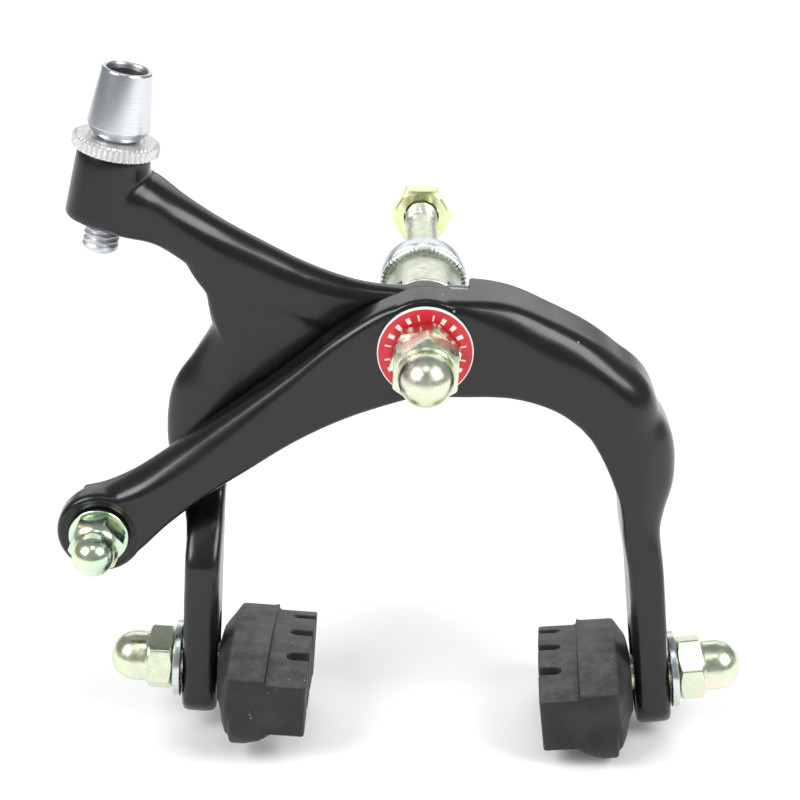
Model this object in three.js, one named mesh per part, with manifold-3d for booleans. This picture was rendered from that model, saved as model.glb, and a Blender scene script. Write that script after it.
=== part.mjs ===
// Rim brake caliper, single-pivot side-pull, millimetres, +Z up.
// The pivot bolt runs along Y. Y = 0 is the seat face that meets the fork, the rider's side is -Y.
import * as THREE from "three";
import { mergeVertices } from "three/addons/utils/BufferGeometryUtils.js";
import Module from "manifold-3d";

const wasm = await Module();
wasm.setup();

// ---- driving dimensions ----
const GAP = 0.3;
const BOLT_R = 3.0;
const BORE_R = BOLT_R + GAP;
const M6_FLATS = 10.0;
const M5_FLATS = 8.0;

// centre stack, front faces and back faces along Y
const SEAT_BACK = 0;
const SEAT_FRONT = -3.9;
const SERRATED_BACK = SEAT_FRONT - GAP;
const SERRATED_FRONT = SERRATED_BACK - 1.5;
const BLOCK_BACK = SERRATED_FRONT - GAP;
const BLOCK_FRONT = -18.3;
const REAR_WASHER = [-19.4, -18.6];
const REAR_HUB = [-23.9, -19.7];
const MIDDLE_WASHER = [-25.0, -24.2];
const FRONT_HUB = [-32.2, -25.3];
const FACE_WASHER = [-33.3, -32.5];
const JAM_NUT = [-36.8, -33.6];
const DOME_HEX = [-41.6, -37.1];
const DOME_LENGTH = 6.4;
const NUT_FRONT = 31.6;
const NUT_BACK = 36.8;
const BOLT_END = 39.5;

const HUB_R = 8.4;
const REAR_HUB_R = 7.3;
const STEP_R = 7.9;
const FULL_BACK = -18.7;

// shoes: where the stud axis crosses the middle of each leg, and how far each leg leans out
const STUD_Y = -28.5;
const LEG_HALF_X = 2.95;
const LEG_HALF_Y = 5.8;
const LEFT_SHOE = { x: -37.05, z: -59.7, lean: 2.8, side: -1, yaw: -1.8, tilt: 6.7, raise: 0.8 };
const RIGHT_SHOE = { x: 40.0, z: -60.8, lean: 6.8, side: 1, yaw: -3.0, tilt: 7.5, raise: 0.15 };
const SLOT_UP = 6.0;
const SLOT_DOWN = 4.4;
const SIDE_WASHER = [LEG_HALF_X + GAP, LEG_HALF_X + GAP + 1.2];
const SIDE_NUT_FOOT = SIDE_WASHER[1] + GAP;
const SIDE_HEX = 4.2;
const PAD_BACK = LEG_HALF_X + GAP;
const PAD_PARTING = 8.8;
const PAD_DEPTH = 15.6;
const PAD_LENGTH = 28.0;
const PAD_ARC = 50.0;
const PAD_FRONT_HEIGHT = 11.2;
const PAD_BACK_HEIGHT = 12.8;
const PAD_SHIFT = -1.4;
const PAD_TAB_Z = -4.9;
const PAD_GROOVES = [6.4, -1.3, -9.0];

// cable anchor and adjuster
const EYE = { x: -52.9, z: -33.8, r: 7.1 };
const ANCHOR_R = 2.5;
const ADJUSTER = { x: -48.95, y: -21.3, z: 28.6, tilt: 11.0 };
const RING_R = 6.9;
const RING_THICK = 2.2;
const STEM_R = 2.9;
const STEM_LENGTH = 18.8;
const BOSS_LENGTH = 11.2;

// ---- helpers ----
const deg = (a) => (a * Math.PI) / 180;

// turns three.js geometry into a boolean solid
function solid(geometry) {
  const bare = new THREE.BufferGeometry();
  bare.setAttribute("position", geometry.attributes.position.clone());
  if (geometry.index) bare.setIndex(geometry.index.clone());
  const merged = mergeVertices(bare, 1e-5);
  const mesh = new wasm.Mesh({
    numProp: 3,
    vertProperties: new Float32Array(merged.attributes.position.array),
    triVerts: new Uint32Array(merged.index.array),
  });
  mesh.merge();
  return new wasm.Manifold(mesh);
}

// turns a boolean solid into a named mesh
function node(name, body, colour, metal = 1, rough = 0.4) {
  const raw = body.getMesh();
  const geometry = new THREE.BufferGeometry();
  geometry.setAttribute("position", new THREE.BufferAttribute(new Float32Array(raw.vertProperties), 3));
  geometry.setIndex(new THREE.BufferAttribute(new Uint32Array(raw.triVerts), 1));
  geometry.computeVertexNormals();
  const material = new THREE.MeshStandardMaterial({ color: colour, metalness: metal, roughness: rough });
  const mesh = new THREE.Mesh(geometry, material);
  mesh.name = name;
  return mesh;
}

// a turned solid about the Y axis from [radius, y] pairs, which start and end on the axis
function turned(profile, segments = 32) {
  const points = profile.map(([r, y]) => new THREE.Vector2(r, y));
  const body = solid(new THREE.LatheGeometry(points, segments));
  return body.volume() < 0 ? solid(new THREE.LatheGeometry(points.reverse(), segments)) : body;
}

// a plain cylinder along Y from y0 to y1
function rod(radius, y0, y1, segments = 32) {
  return turned([[0, y0], [radius, y0], [radius, y1], [0, y1]], segments);
}

// a ring along Y
function ring(outer, inner, y0, y1, segments = 32) {
  return rod(outer, y0, y1, segments).subtract(rod(inner, y0 - 1, y1 + 1, segments));
}

// a box from its two corners
function block(x0, x1, y0, y1, z0, z1) {
  const box = new THREE.BoxGeometry(x1 - x0, y1 - y0, z1 - z0);
  box.translate((x0 + x1) / 2, (y0 + y1) / 2, (z0 + z1) / 2);
  return solid(box);
}

// a hex prism along Y with its corners chamfered at both ends
function hexagon(flats, y0, y1, chamfer = 0.5, turn = 0) {
  const corner = flats / Math.sqrt(3);
  const prism = rod(corner, y0, y1, 6).rotate([0, turn, 0]);
  const crop = turned([
    [0, y0],
    [corner - chamfer * 1.4, y0],
    [corner + 0.02, y0 + chamfer],
    [corner + 0.02, y1 - chamfer],
    [corner - chamfer * 1.4, y1],
    [0, y1],
  ], 24);
  return prism.intersect(crop);
}

// a dome nut that points along -Y: hex from foot down to foot - hex, blind bore from the foot
function domeNut(flats, foot, hex, dome, bore, turn) {
  const top = foot - hex;
  const domeR = flats * 0.4;
  const straight = dome - domeR;
  const profile = [[0, foot - 0.5], [domeR, foot - 0.5], [domeR, top - straight]];
  for (let i = 1; i <= 6; i++) {
    const a = (i / 6) * (Math.PI / 2);
    profile.push([domeR * Math.cos(a), top - straight - domeR * Math.sin(a)]);
  }
  profile[profile.length - 1][0] = 0;
  const body = hexagon(flats, top, foot, 0.55, turn).add(turned(profile, 24));
  return body.subtract(rod(bore, top - straight - 0.4, foot + 1, 24));
}

// one rounded cross-section of a limb: n is across the limb in the XZ plane
function section(st, nx, nz, count, power) {
  const mid = (st.front + st.back) / 2;
  const halfY = (st.back - st.front) / 2;
  const points = [];
  for (let i = 0; i < count; i++) {
    const t = (i / count) * Math.PI * 2 + Math.PI / count;
    const c = Math.cos(t);
    const s = Math.sin(t);
    const across = Math.sign(c) * Math.abs(c) ** (2 / power) * st.half;
    const depth = Math.sign(s) * Math.abs(s) ** (2 / power) * halfY;
    points.push([st.x + nx * across, mid + depth, st.z + nz * across]);
  }
  return points;
}

// a limb through stations {x, z, half, front, back}; the skin is closed with a cap at each end
function limb(stations, power = 4, count = 16, fine = 2) {
  const list = refine(stations.map(([x, z, half, front, back]) => ({ x, z, half, front, back })), fine);
  const positions = [];
  const index = [];
  list.forEach((st, i) => {
    const a = list[Math.max(0, i - 1)];
    const b = list[Math.min(list.length - 1, i + 1)];
    const length = Math.hypot(b.x - a.x, b.z - a.z);
    const tx = (b.x - a.x) / length;
    const tz = (b.z - a.z) / length;
    positions.push(...section(st, -tz, tx, count, power).flat());
  });
  for (let i = 0; i + 1 < list.length; i++) {
    for (let j = 0; j < count; j++) {
      const k = (j + 1) % count;
      const a = i * count;
      const b = a + count;
      index.push(a + j, b + j, a + k, a + k, b + j, b + k);
    }
  }
  const last = (list.length - 1) * count;
  for (let j = 1; j + 1 < count; j++) {
    index.push(0, j, j + 1, last, last + j + 1, last + j);
  }
  const geometry = new THREE.BufferGeometry();
  geometry.setAttribute("position", new THREE.Float32BufferAttribute(positions, 3));
  geometry.setIndex(index);
  const body = solid(geometry);
  if (body.volume() > 0) return body;
  for (let i = 0; i < index.length; i += 3) [index[i], index[i + 1]] = [index[i + 1], index[i]];
  geometry.setIndex(index);
  return solid(geometry);
}

// smooth curve through the stations, every value carried along together
function refine(list, fine) {
  const keys = ["x", "z", "half", "front", "back"];
  const out = [];
  for (let i = 0; i + 1 < list.length; i++) {
    const p = [list[Math.max(0, i - 1)], list[i], list[i + 1], list[Math.min(list.length - 1, i + 2)]];
    for (let s = 0; s < fine; s++) {
      const t = s / fine;
      const st = {};
      for (const k of keys) {
        const [a, b, c, d] = p.map((q) => q[k]);
        st[k] = 0.5 * (2 * b + (c - a) * t + (2 * a - 5 * b + 4 * c - d) * t * t + (3 * b - a - 3 * c + d) * t ** 3);
      }
      out.push(st);
    }
  }
  out.push(list[list.length - 1]);
  return out;
}

// stations of a leg from its top to its rounded foot
function legFoot(shoe, top) {
  const lean = deg(shoe.lean);
  const out = [];
  const down = (d) => [shoe.x + shoe.side * Math.sin(lean) * d, shoe.z - Math.cos(lean) * d];
  const foot = SLOT_DOWN + 5.1;
  for (const d of [-top, -top * 0.6, -top * 0.3, 0, foot - LEG_HALF_Y]) {
    out.push([...down(d), LEG_HALF_X, STUD_Y - LEG_HALF_Y, STUD_Y + LEG_HALF_Y]);
  }
  for (const a of [30, 52, 70, 84]) {
    const half = Math.cos(deg(a)) * LEG_HALF_Y;
    const thin = LEG_HALF_X - 0.5 * Math.max(0, (a - 50) / 34);
    out.push([...down(foot - LEG_HALF_Y + Math.sin(deg(a)) * LEG_HALF_Y), thin, STUD_Y - half, STUD_Y + half]);
  }
  return out;
}

// moves a body built about the stud axis (leg outwards = -Y) to its place on the caliper
function placeOnShoe(body, shoe) {
  return body.rotate([0, 0, shoe.side > 0 ? 90 : -90]).rotate([0, -shoe.side * shoe.lean, 0])
    .translate([shoe.x, STUD_Y, shoe.z]);
}

// the through slot for the pad stud
function slotCutter(shoe) {
  const up = rod(BORE_R, -6, 6, 32).translate([0, 0, SLOT_UP]);
  const down = rod(BORE_R, -6, 6, 32).translate([0, 0, -SLOT_DOWN]);
  const middle = block(-BORE_R, BORE_R, -6, 6, -SLOT_DOWN, SLOT_UP);
  return placeOnShoe(up.add(down).add(middle), shoe);
}

// a post behind an arm that the spring end bears on
function springLug(x, z, front) {
  return rod(2.2, front, -14.4, 24).translate([x, 0, z]);
}

// ---- arms ----
function frontArm() {
  const [f, b] = FRONT_HUB;
  const branch = limb([
    [EYE.x, EYE.z, 7.0, f, b],
    [-49.5, -31.9, 6.0, f, b],
    [-44.3, -28.1, 4.9, f, b],
    [-37.3, -22.7, 4.6, f, b],
    [-30.8, -18.0, 4.75, f, b],
    [-24.1, -13.1, 5.0, f, b],
    [-17.4, -8.6, 5.7, f, b],
    [-10.4, -4.3, 7.0, f, b],
    [-3.0, -0.8, 8.1, f, b],
    [1.5, -0.3, 8.2, f, b],
  ]);
  const eye = turned([[0, f + 0.3], [6.4, f + 0.1], [EYE.r, f + 1.2], [EYE.r, b - 3.0], [5.3, b], [0, b]], 40)
    .translate([EYE.x, 0, EYE.z]);
  const hub = turned([[0, f], [7.9, f], [HUB_R, f + 0.8], [HUB_R, b - 0.3], [8.1, b], [0, b]], 48);
  const shoulder = limb([
    [-2.0, -0.3, 8.2, f, FULL_BACK],
    [5.0, -0.4, 8.2, f, FULL_BACK],
    [11.5, -0.8, 7.8, f, FULL_BACK],
    [17.9, -2.6, 6.8, f, FULL_BACK],
    [23.7, -5.1, 6.3, f - 0.1, FULL_BACK],
    [28.0, -8.1, 6.1, f - 0.2, FULL_BACK],
    [31.1, -11.3, 6.05, f - 0.4, FULL_BACK - 0.2],
    [33.3, -15.0, 5.7, f - 0.6, FULL_BACK - 0.6],
    [35.5, -18.9, 5.85, f - 0.9, FULL_BACK - 1.2],
    [36.6, -24.0, 5.1, f - 1.2, FULL_BACK - 2.0],
    [36.5, -28.6, 3.9, f - 1.5, FULL_BACK - 2.8],
    [36.4, -32.6, 3.2, f - 1.8, FULL_BACK - 3.5],
    ...legFoot(RIGHT_SHOE, 22.0),
  ]);
  const room = rod(STEP_R, b, -10, 48).add(block(-12, 7.0, b, -10, -12, 12));
  const lug = springLug(35.4, -20.6, FULL_BACK - 4);
  return branch.add(eye).add(hub).add(shoulder.subtract(room)).add(lug)
    .subtract(rod(BORE_R, -60, 10, 40))
    .subtract(rod(ANCHOR_R + GAP, -60, 10, 32).translate([EYE.x, 0, EYE.z]))
    .subtract(slotCutter(RIGHT_SHOE));
}

// the boss that the adjuster's stem passes through, from its rounded bottom to its seat
function bossShape() {
  return alongAdjuster(turned([
    [0, -BOSS_LENGTH],
    [5.3, -BOSS_LENGTH],
    [5.95, -BOSS_LENGTH + 0.6],
    [6.1, -BOSS_LENGTH + 1.6],
    [5.85, -1.2],
    [5.5, -GAP],
    [0, -GAP],
  ], 40));
}

function rearArm() {
  const [f, b] = REAR_HUB;
  const back = b + 0.8;
  const crest = limb([
    [-50.4, 21.4, 4.9, f - 2.4, f + 8.0],
    [-45.4, 19.9, 5.0, f - 1.6, f + 7.0],
    [-40.5, 17.3, 4.2, f - 0.6, f + 6.0],
    [-34.5, 13.2, 4.3, f, back + 0.8],
    [-27.6, 9.4, 4.4, f, back + 0.4],
    [-20.6, 6.0, 4.4, f, back],
    [-13.0, 2.9, 4.9, f, back - 0.3],
    [-6.0, 0.6, 6.2, f, back - 0.6],
    [0.0, -0.4, 6.9, f, b],
  ]);
  const edge = limb([
    [-39.8, 16.6, 1.4, f, f + 6.4],
    [-35.5, 12.9, 2.0, f, back + 1.4],
    [-31.8, 7.9, 3.6, f, back + 1.0],
    [-30.3, 3.5, 4.4, f, back + 1.0],
    [-30.4, -2.0, 4.4, f, back + 1.2],
    [-33.3, -8.4, 5.0, f, back + 1.6],
    [-35.6, -13.8, 6.1, f, back + 1.6],
    [-36.9, -19.4, 5.8, f, back + 1.2],
    [-37.0, -24.8, 5.2, f, back + 0.2],
    [-36.5, -29.6, 3.9, f - 1.4, back - 1.2],
    [-35.9, -34.0, 3.1, f - 6.6, STUD_Y + LEG_HALF_Y + 0.6],
    [-36.0, -38.4, 2.95, f - 10.2, STUD_Y + LEG_HALF_Y],
    ...legFoot(LEFT_SHOE, 16.5),
  ]);
  const arch = limb([
    [0.0, -0.6, 6.7, f, b],
    [-8.0, -2.6, 6.4, f, back - 0.6],
    [-15.5, -3.6, 5.6, f, back - 0.2],
    [-21.5, -6.2, 5.4, f, back + 0.2],
    [-26.5, -10.0, 5.0, f, back + 0.6],
    [-30.5, -15.0, 4.6, f, back + 0.8],
    [-33.4, -20.6, 4.2, f, back + 0.6],
    [-35.0, -26.6, 3.6, f, back - 0.4],
  ]);
  const web = limb([
    [-34.6, 11.4, 2.0, f + 0.3, back],
    [-31.0, 7.4, 4.2, f + 0.3, back],
    [-26.5, 2.6, 8.4, f + 0.3, back],
    [-20.0, -0.6, 8.6, f + 0.3, back - 0.3],
    [-12.0, -0.4, 6.0, f + 0.2, back - 0.5],
  ]);
  const hub = turned([[0, f], [7.0, f], [REAR_HUB_R, f + 0.5], [REAR_HUB_R, b - 0.6], [6.8, b], [0, b]], 48);
  const lug = springLug(-35.4, -20.6, back - 2);
  return crest.add(edge).add(arch).add(web).add(hub).add(bossShape()).add(lug)
    .subtract(rod(BORE_R, -60, 10, 40))
    .subtract(rod(9.0, b, 0, 40))
    .subtract(alongAdjuster(rod(STEM_R + GAP, -40, 40, 32)))
    .subtract(alongAdjuster(rod(8.0, -GAP, 20, 40)))
    .subtract(slotCutter(LEFT_SHOE));
}

// ---- adjuster ----
// moves a body turned about Y (up = +Y, 0 = foot of the lock ring) onto the tilted adjuster axis
function alongAdjuster(body) {
  return body.rotate([90, 0, 0]).rotate([0, ADJUSTER.tilt, 0]).translate([ADJUSTER.x, ADJUSTER.y, ADJUSTER.z]);
}

function lockRing() {
  return alongAdjuster(ring(RING_R, STEM_R + GAP, 0, RING_THICK, 60));
}

function barrelAdjuster() {
  const foot = RING_THICK + GAP;
  const outside = [
    [0, -STEM_LENGTH + RING_THICK],
    [STEM_R - 0.5, -STEM_LENGTH + RING_THICK],
    [STEM_R, -STEM_LENGTH + RING_THICK + 0.6],
    [STEM_R, foot],
    [3.9, foot],
    [3.9, foot + 0.7],
    [4.5, foot + 0.8],
    [5.05, foot + 1.7],
    [3.95, foot + 10.5],
    [3.75, foot + 10.8],
    [0, foot + 10.8],
  ];
  const socket = turned([[0, foot + 4.0], [2.6, foot + 4.0], [2.9, foot + 9.9], [3.3, foot + 11.0], [0, foot + 11.0]], 32);
  return alongAdjuster(turned(outside, 40).subtract(socket).subtract(rod(1.1, -40, 40, 20)));
}

// ---- anchor ----
function anchorBolt() {
  const [f, b] = FRONT_HUB;
  const head = turned([[0, b + GAP], [4.1, b + GAP], [4.1, b + 4.6], [3.7, b + 5.0], [0, b + 5.0]], 32);
  const shank = rod(ANCHOR_R, f - 6.0, b + 1, 32);
  const cableHole = rod(1.1, -20, 20, 20).rotate([90, 0, 0]).translate([0, b + 2.6, 0]);
  return head.add(shank).subtract(cableHole).translate([EYE.x, 0, EYE.z]);
}

function anchorWasher() {
  return ring(4.9, ANCHOR_R + GAP, FRONT_HUB[0] - 0.9, FRONT_HUB[0] - 0.1).translate([EYE.x, 0, EYE.z]);
}

function anchorNut() {
  const foot = FRONT_HUB[0] - 1.2;
  return domeNut(M5_FLATS, foot, 3.6, 5.6, ANCHOR_R + GAP, 8).translate([EYE.x, 0, EYE.z]);
}

// ---- centre stack ----
function pivotBolt() {
  const tip = DOME_HEX[0] - 2.2;
  return turned([[0, tip], [2.6, tip], [BOLT_R, tip + 0.5], [BOLT_R, BOLT_END - 0.6], [2.5, BOLT_END], [0, BOLT_END]], 40);
}

function springBlock() {
  const body = ring(6.6, BORE_R, BLOCK_FRONT, BLOCK_BACK, 48);
  return body.subtract(block(-8, 8, BLOCK_FRONT - 1, BLOCK_FRONT + 2.5, 3.15, 5.45));
}

function mountingNut() {
  const hex = hexagon(M6_FLATS, NUT_FRONT, NUT_BACK - 1.4, 0.5, 0);
  const collar = turned([[0, NUT_BACK - 1.6], [4.7, NUT_BACK - 1.6], [4.4, NUT_BACK - 0.2], [4.1, NUT_BACK], [0, NUT_BACK]], 40);
  const groove = rod(3.75, NUT_BACK - 2.2, NUT_BACK - 0.4, 40);
  return hex.add(collar).subtract(rod(BORE_R, 20, 60)).subtract(groove);
}

function nutInsert() {
  return ring(3.62, 3.15, NUT_BACK - 2.05, NUT_BACK - 0.55, 40);
}

// ---- return spring ----
function returnSpring() {
  const y = BLOCK_FRONT + 1.2;
  const z = 4.3;
  const right = [[5, z], [9.5, z - 0.6], [15, z - 3.2], [21.5, -5.0], [27.5, -11.5], [31.0, -17.0], [32.0, -21.0], [32.3, -24.0]];
  const points = [...right.slice().reverse().map(([x, zz]) => [-x, zz]), [0, z], ...right];
  const curve = new THREE.CatmullRomCurve3(points.map(([x, zz]) => new THREE.Vector3(x, y, zz)), false, "centripetal");
  const wire = new THREE.Shape();
  for (let i = 0; i < 8; i++) {
    const a = (i / 8) * Math.PI * 2;
    const [px, py] = [0.95 * Math.cos(a), 0.95 * Math.sin(a)];
    if (i === 0) wire.moveTo(px, py);
    else wire.lineTo(px, py);
  }
  return solid(new THREE.ExtrudeGeometry(wire, { steps: 40, bevelEnabled: false, extrudePath: curve }));
}

// ---- shoes, built about the stud axis with the leg outwards (-Y) ----
function sideWasher(shoe) {
  return placeOnShoe(ring(6.5, BORE_R, -SIDE_WASHER[1], -SIDE_WASHER[0], 40), shoe);
}

function sideNut(shoe, turn) {
  return placeOnShoe(domeNut(M6_FLATS, -SIDE_NUT_FOOT, SIDE_HEX, 6.5, BORE_R, turn), shoe);
}

function padStud(shoe) {
  const shank = turned([
    [0, -SIDE_NUT_FOOT - 6.2],
    [2.6, -SIDE_NUT_FOOT - 6.2],
    [BOLT_R, -SIDE_NUT_FOOT - 5.7],
    [BOLT_R, PAD_BACK + 4.6],
    [0, PAD_BACK + 4.6],
  ], 32);
  const plate = block(-9, 9, PAD_BACK + 3.4, PAD_BACK + 5.2, -3.6, 3.6);
  return placeOnShoe(shank.add(plate), shoe);
}

// a slab bent to the pad's arc: x along the pad, y through it, z up
function bentSlab(half, y0, y1, height, taper) {
  const shape = new THREE.Shape();
  const steps = 8;
  const outer = [];
  const inner = [];
  for (let i = 0; i <= steps; i++) {
    const a = ((i / steps) * 2 - 1) * (half / PAD_ARC);
    outer.push([Math.sin(a) * (PAD_ARC + height / 2), Math.cos(a) * (PAD_ARC + height / 2) - PAD_ARC]);
    inner.push([Math.sin(a) * (PAD_ARC - height / 2), Math.cos(a) * (PAD_ARC - height / 2) - PAD_ARC]);
  }
  [...outer, ...inner.reverse()].forEach(([x, z], i) => (i ? shape.lineTo(x, z) : shape.moveTo(x, z)));
  const slab = new THREE.ExtrudeGeometry(shape, {
    depth: y1 - y0 - 2 * taper,
    steps: 1,
    bevelEnabled: true,
    bevelThickness: taper,
    bevelSize: taper * 0.7,
    bevelOffset: -taper * 0.7,
    bevelSegments: 2,
  });
  slab.rotateX(Math.PI / 2);
  slab.translate(0, y1 - taper, 0);
  return solid(slab);
}

// what is cut off the pad's back towards one end: sign along the pad, from a distance, at an angle
function endSlope(sign, from, angle) {
  const wedge = block(-30, 30, -12, 0, -20, 20).rotate([0, 0, sign * angle]).translate([sign * from, PAD_BACK, 0]);
  return wedge.intersect(sign > 0 ? block(from, 30, -20, 30, -20, 20) : block(-30, -from, -20, 30, -20, 20));
}

// what is cut off the pad's back along its upper or lower edge
function crownCut(sign, from, angle) {
  const wedge = block(-30, 30, -12, 0, -30, 30).rotate([sign * angle, 0, 0]).translate([0, PAD_BACK, sign * from]);
  return wedge.intersect(sign > 0 ? block(-30, 30, -20, 30, from, 30) : block(-30, 30, -20, 30, -30, -from));
}

// the rounded lobe under the near end of the pad
function padTab() {
  const parting = PAD_BACK + PAD_PARTING;
  return turned([
    [0, PAD_BACK + 3.0],
    [5.2, PAD_BACK + 3.0],
    [5.6, PAD_BACK + 3.4],
    [5.6, parting - 3.4],
    [5.0, parting - 0.8],
    [3.6, parting + 1.4],
    [0, parting + 1.4],
  ], 32);
}

function padRubber(shoe) {
  const half = PAD_LENGTH / 2;
  const backing = bentSlab(half, PAD_BACK, PAD_PARTING + PAD_BACK, PAD_BACK_HEIGHT, 0.9);
  const rubbing = bentSlab(half - 0.2, PAD_PARTING + PAD_BACK - 1.2, PAD_BACK + PAD_DEPTH, PAD_FRONT_HEIGHT, 0.5);
  const near = -shoe.side;
  const slope = endSlope(near, 5.2, 15).add(endSlope(-near, 6.5, 5));
  const crown = crownCut(1, 3.6, 41).add(crownCut(-1, 3.8, 30));
  let body = backing.add(rubbing).subtract(slope).subtract(crown).add(padTab().translate([near * half * 0.66, 0, PAD_TAB_Z]));
  for (const along of PAD_GROOVES) {
    const groove = block(-1.05, 1.05, PAD_BACK + PAD_DEPTH - 2.8, PAD_BACK + PAD_DEPTH + 2, -20, 20);
    const root = rod(1.05, -20, 20, 20).rotate([90, 0, 0]).translate([0, PAD_BACK + PAD_DEPTH - 2.8, 0]);
    const turn = ((near * along) / PAD_ARC) * (180 / Math.PI);
    body = body.subtract(groove.add(root).translate([0, 0, PAD_ARC]).rotate([0, turn, 0]).translate([0, 0, -PAD_ARC]));
  }
  const s = shoe.side;
  const posed = body.rotate([0, s * shoe.tilt, 0]).translate([s * PAD_SHIFT, 0, shoe.raise]);
  const yawed = posed.translate([0, -PAD_BACK, 0]).rotate([0, 0, shoe.yaw]).translate([0, PAD_BACK, 0]);
  const pocket = block(-9 - GAP, 9 + GAP, PAD_BACK + 3.4 - GAP, PAD_BACK + 5.2 + GAP, -3.6 - GAP, 3.6 + GAP)
    .add(rod(BORE_R, 0, PAD_BACK + 4.6, 32))
    .add(block(-20, 20, -5, PAD_BACK, -20, 20));
  return placeOnShoe(yawed.subtract(pocket), shoe);
}

// ---- assembly ----
const BLACK = 0x1a1a1c;
const ZINC = 0xc9cfa0;
const GREY_ZINC = 0xb4b8b4;
const SILVER = 0xc4c6c8;
const RUBBER = 0x2c2d2e;

const caliper = new THREE.Group();
caliper.add(
  node("pivot_bolt", pivotBolt(), ZINC),
  node("spring_block", springBlock(), ZINC),
  node("serrated_washer", ring(7.5, BORE_R, SERRATED_FRONT, SERRATED_BACK, 48), GREY_ZINC),
  node("seat_washer", ring(7.5, BORE_R, SEAT_FRONT, SEAT_BACK, 48), GREY_ZINC),
  node("mounting_nut", mountingNut(), ZINC),
  node("nut_insert", nutInsert(), 0xe8e8e4, 0, 0.5),
  node("rear_washer", ring(6.4, BORE_R, ...REAR_WASHER), GREY_ZINC),
  node("rear_arm", rearArm(), BLACK, 0.1, 0.25),
  node("middle_washer", ring(7.0, BORE_R, ...MIDDLE_WASHER), GREY_ZINC),
  node("front_arm", frontArm(), BLACK, 0.1, 0.25),
  node("face_washer", ring(7.6, BORE_R, ...FACE_WASHER, 56), 0xc02a2e, 0.2, 0.35),
  node("jam_nut", hexagon(M6_FLATS, ...JAM_NUT, 0.5, 18).subtract(rod(BORE_R, -60, 0)), ZINC),
  node("front_dome_nut", domeNut(M6_FLATS, DOME_HEX[1], 4.5, DOME_LENGTH, BORE_R, 2), ZINC),
  node("return_spring", returnSpring(), 0x9aa0a4),
  node("anchor_bolt", anchorBolt(), ZINC),
  node("anchor_washer", anchorWasher(), ZINC),
  node("anchor_dome_nut", anchorNut(), ZINC),
  node("barrel_adjuster", barrelAdjuster(), SILVER, 1, 0.3),
  node("adjuster_lock_ring", lockRing(), SILVER, 1, 0.45),
);
for (const [side, shoe, turn] of [["left", LEFT_SHOE, -11], ["right", RIGHT_SHOE, -7]]) {
  caliper.add(
    node(`${side}_pad`, padRubber(shoe), RUBBER, 0, 0.8),
    node(`${side}_pad_stud`, padStud(shoe), ZINC),
    node(`${side}_side_washer`, sideWasher(shoe), GREY_ZINC),
    node(`${side}_dome_nut`, sideNut(shoe, turn), ZINC),
  );
}

export default caliper;
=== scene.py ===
# Rim brake caliper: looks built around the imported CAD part. Lengths are millimetres until a mesh is made.
import bmesh
import bpy
import math
from mathutils import Matrix, Vector


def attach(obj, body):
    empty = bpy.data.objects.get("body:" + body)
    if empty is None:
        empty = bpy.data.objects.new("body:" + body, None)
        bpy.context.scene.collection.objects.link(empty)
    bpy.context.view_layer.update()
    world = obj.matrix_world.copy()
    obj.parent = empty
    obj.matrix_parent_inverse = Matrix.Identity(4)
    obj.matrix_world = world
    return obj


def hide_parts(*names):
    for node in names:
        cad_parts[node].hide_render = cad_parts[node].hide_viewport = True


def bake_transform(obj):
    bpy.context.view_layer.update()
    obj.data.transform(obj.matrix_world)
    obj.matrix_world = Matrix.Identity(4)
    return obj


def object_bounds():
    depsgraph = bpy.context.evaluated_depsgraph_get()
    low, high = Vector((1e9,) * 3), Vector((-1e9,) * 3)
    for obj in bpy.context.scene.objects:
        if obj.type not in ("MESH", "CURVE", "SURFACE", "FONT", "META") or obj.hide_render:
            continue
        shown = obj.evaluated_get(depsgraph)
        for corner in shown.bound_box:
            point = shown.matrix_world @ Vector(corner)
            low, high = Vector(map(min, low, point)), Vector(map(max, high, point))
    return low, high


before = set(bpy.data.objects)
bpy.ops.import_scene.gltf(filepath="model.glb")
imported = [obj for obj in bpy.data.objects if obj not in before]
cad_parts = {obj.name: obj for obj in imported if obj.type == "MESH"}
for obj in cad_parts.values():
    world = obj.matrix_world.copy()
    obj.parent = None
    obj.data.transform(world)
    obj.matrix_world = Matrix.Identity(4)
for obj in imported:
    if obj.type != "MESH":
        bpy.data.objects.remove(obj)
cad_low, cad_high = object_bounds()

MM = 0.001
BOLT_R = 3.0
BORE_R = 3.3
M6_FLATS = 10.0
M5_FLATS = 8.0

# centre stack along Y
SEAT = (-3.9, 0.0)
SERRATED = (-5.7, -4.2)
BLOCK = (-18.3, -6.0)
REAR_WASHER = (-19.4, -18.6)
REAR_HUB = (-23.9, -19.7)
MIDDLE_WASHER = (-25.0, -24.2)
FRONT_HUB = (-32.2, -25.3)
FACE_WASHER = (-33.3, -32.5)
JAM_NUT = (-36.8, -33.6)
DOME_HEX = (-41.6, -37.1)
NUT = (31.6, 36.8)
BOLT_END = 39.5
FULL_BACK = -18.7

# shoes
STUD_Y = -28.5
LEG_HALF_X = 2.95
LEG_HALF_Y = 5.8
LEFT_SHOE = {"x": -37.05, "z": -59.7, "lean": 2.8, "side": -1, "yaw": -1.8, "tilt": 6.7, "raise": 0.8}
RIGHT_SHOE = {"x": 40.0, "z": -60.8, "lean": 6.8, "side": 1, "yaw": -3.0, "tilt": 7.5, "raise": 0.15}
SLOT_UP = 6.0
SLOT_DOWN = 4.4
SIDE_WASHER = (3.25, 4.45)
SIDE_NUT_FOOT = 4.75
PAD_BACK = 3.25
PAD_PARTING = 8.8
PAD_DEPTH = 15.6
PAD_LENGTH = 28.0
PAD_ARC = 50.0
PAD_TAB_Z = -4.9
PAD_GROOVES = (6.4, -1.3, -9.0)
PAD_SHIFT = -1.4
GROOVE_R = 1.05

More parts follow.
